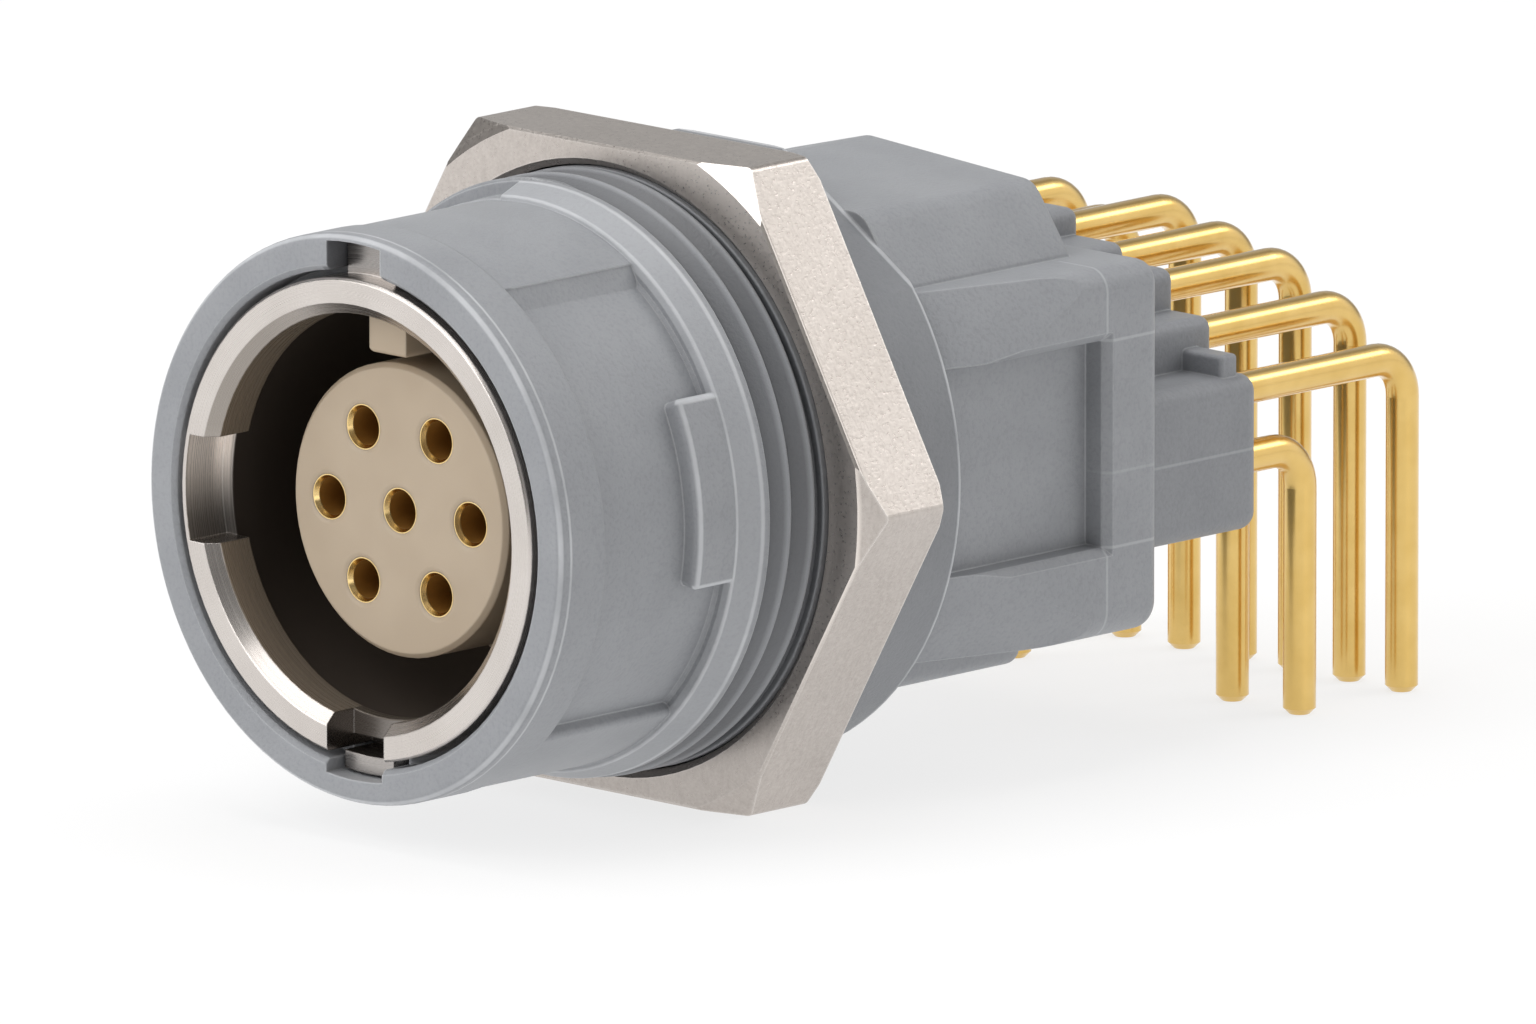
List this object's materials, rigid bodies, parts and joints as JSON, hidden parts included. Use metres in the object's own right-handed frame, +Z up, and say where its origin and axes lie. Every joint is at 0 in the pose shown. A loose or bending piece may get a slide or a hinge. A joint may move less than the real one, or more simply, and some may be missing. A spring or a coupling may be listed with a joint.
{
  "type": "right-angle pcb socket",
  "caption": "Panel-mount circular socket with a hexagonal nut, a grey moulded housing, a metal shield sleeve, gold contacts and right-angle board pins.",
  "frame": {"origin": "on the connector axis, at the front face of the panel flange", "axes": "+Y to the rear, mating face along -Y, +Z up, board pins point along -Z"},
  "size_m": [0.0224, 0.0379, 0.0196],
  "materials": {
    "grey_moulding": "fine moulded grain",
    "nickel_sleeve": "turned and nickel plated",
    "nickel_nut": "nickel plated, brushed face",
    "beige_insulator": "fine satin",
    "gold": "gold plated, satin"
  },
  "bodies": {
    "socket": {"housing": "grey_moulding", "shield_sleeve": "nickel_sleeve", "contact_insulator": "beige_insulator", "key_ring": "beige_insulator", "pin_block": "grey_moulding", "socket_contact_1": "gold", "socket_contact_2": "gold", "socket_contact_3": "gold", "socket_contact_4": "gold", "socket_contact_5": "gold", "socket_contact_6": "gold", "socket_contact_7": "gold", "pcb_pin_1": "gold", "pcb_pin_2": "gold", "pcb_pin_3": "gold", "pcb_pin_4": "gold", "pcb_pin_5": "gold", "pcb_pin_6": "gold", "pcb_pin_7": "gold", "ground_pin_1": "gold", "ground_pin_2": "gold", "ground_pin_3": "gold", "ground_pin_4": "gold"},
    "nut": {"hex_nut": "nickel_nut"}
  },
  "joints": [
    {"name": "nut_turn", "type": "hinge", "parent": "socket", "child": "nut", "pos_m": [0, 0, 0], "axis": [0, -1, 0], "range_deg": [0, 1815]}
  ]
}
